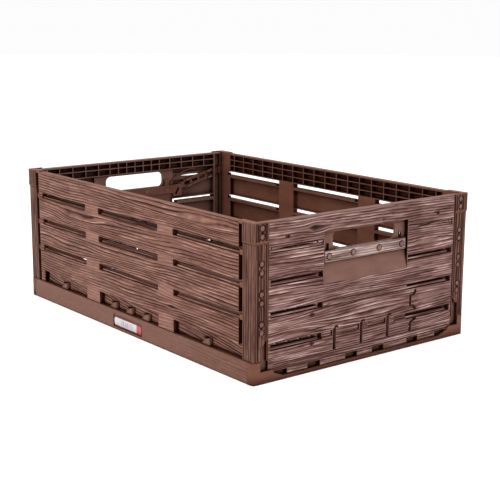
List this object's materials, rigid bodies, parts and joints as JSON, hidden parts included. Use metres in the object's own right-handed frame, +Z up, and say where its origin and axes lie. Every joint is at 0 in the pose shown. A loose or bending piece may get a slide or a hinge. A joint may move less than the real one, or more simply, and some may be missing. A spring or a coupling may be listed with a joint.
{
  "type": "collapsible storage crate",
  "caption": "Open-top folding crate with wood-look slatted plastic walls, hand holes, and end walls that fold inwards when a spring-loaded lift bar frees their latch.",
  "frame": {"origin": "centre of the crate's footprint, on the surface it stands on", "axes": "+X along the length towards the near end wall, +Y across towards the far long wall, +Z up"},
  "size_m": [0.6, 0.4, 0.214],
  "materials": {
    "base_plastic": "matte moulded wood look, brown",
    "wall_plastic": "matte moulded wood grain, brown",
    "latch_plastic": "matte dark brown",
    "bar_plastic": "matte greyed brown wood grain",
    "pin_plastic": "matte brown",
    "label_white": "glossy white film",
    "label_red": "glossy red film"
  },
  "bodies": {
    "crate_frame": {"base_tray": "base_plastic", "long_wall_near": "wall_plastic", "long_wall_far": "wall_plastic", "label_card": "label_white", "label_tab": "label_red"},
    "near_end": {"end_wall_near": "wall_plastic", "leaf_spring_near_right": "latch_plastic", "leaf_spring_near_left": "latch_plastic"},
    "near_lift": {"lift_bar_near": "bar_plastic", "latch_carrier_near": "latch_plastic", "bar_pins_near": "pin_plastic"},
    "near_arm_right": {"latch_arm_near_right": "latch_plastic"},
    "near_arm_left": {"latch_arm_near_left": "latch_plastic"},
    "far_end": {"end_wall_far": "wall_plastic", "leaf_spring_far_right": "latch_plastic", "leaf_spring_far_left": "latch_plastic"},
    "far_lift": {"lift_bar_far": "bar_plastic", "latch_carrier_far": "latch_plastic", "bar_pins_far": "pin_plastic"},
    "far_arm_right": {"latch_arm_far_right": "latch_plastic"},
    "far_arm_left": {"latch_arm_far_left": "latch_plastic"}
  },
  "joints": [
    {"name": "near_end_fold", "type": "hinge", "parent": "crate_frame", "child": "near_end", "pos_m": [0.29, 0, 0.009], "axis": [0, -1, 0], "range_deg": [0, 90]},
    {"name": "near_bar_lift", "type": "slide", "parent": "near_end", "child": "near_lift", "axis": [0, 0, 1], "range_m": [0, 0.01], "stiffness_N_per_m": 600, "springref_m": -0.006, "deforming": ["leaf_spring_near_right", "leaf_spring_near_left"]},
    {"name": "near_arm_right_slide", "type": "slide", "parent": "near_end", "child": "near_arm_right", "axis": [0, -0.969, -0.247], "range_m": [0, 0.007]},
    {"name": "near_arm_left_slide", "type": "slide", "parent": "near_end", "child": "near_arm_left", "axis": [0, 0.969, -0.247], "range_m": [0, 0.007]},
    {"name": "far_end_fold", "type": "hinge", "parent": "crate_frame", "child": "far_end", "pos_m": [-0.29, 0, 0.009], "axis": [0, 1, 0], "range_deg": [0, 90]},
    {"name": "far_bar_lift", "type": "slide", "parent": "far_end", "child": "far_lift", "axis": [0, 0, 1], "range_m": [0, 0.01], "stiffness_N_per_m": 600, "springref_m": -0.006, "deforming": ["leaf_spring_far_right", "leaf_spring_far_left"]},
    {"name": "far_arm_right_slide", "type": "slide", "parent": "far_end", "child": "far_arm_right", "axis": [0, 0.969, -0.247], "range_m": [0, 0.007]},
    {"name": "far_arm_left_slide", "type": "slide", "parent": "far_end", "child": "far_arm_left", "axis": [0, -0.969, -0.247], "range_m": [0, 0.007]}
  ],
  "couplings": [
    {"joint": "near_arm_right_slide", "follows": "near_bar_lift", "ratio": 0.7},
    {"joint": "near_arm_left_slide", "follows": "near_bar_lift", "ratio": 0.7},
    {"joint": "far_arm_right_slide", "follows": "far_bar_lift", "ratio": 0.7},
    {"joint": "far_arm_left_slide", "follows": "far_bar_lift", "ratio": 0.7}
  ]
}
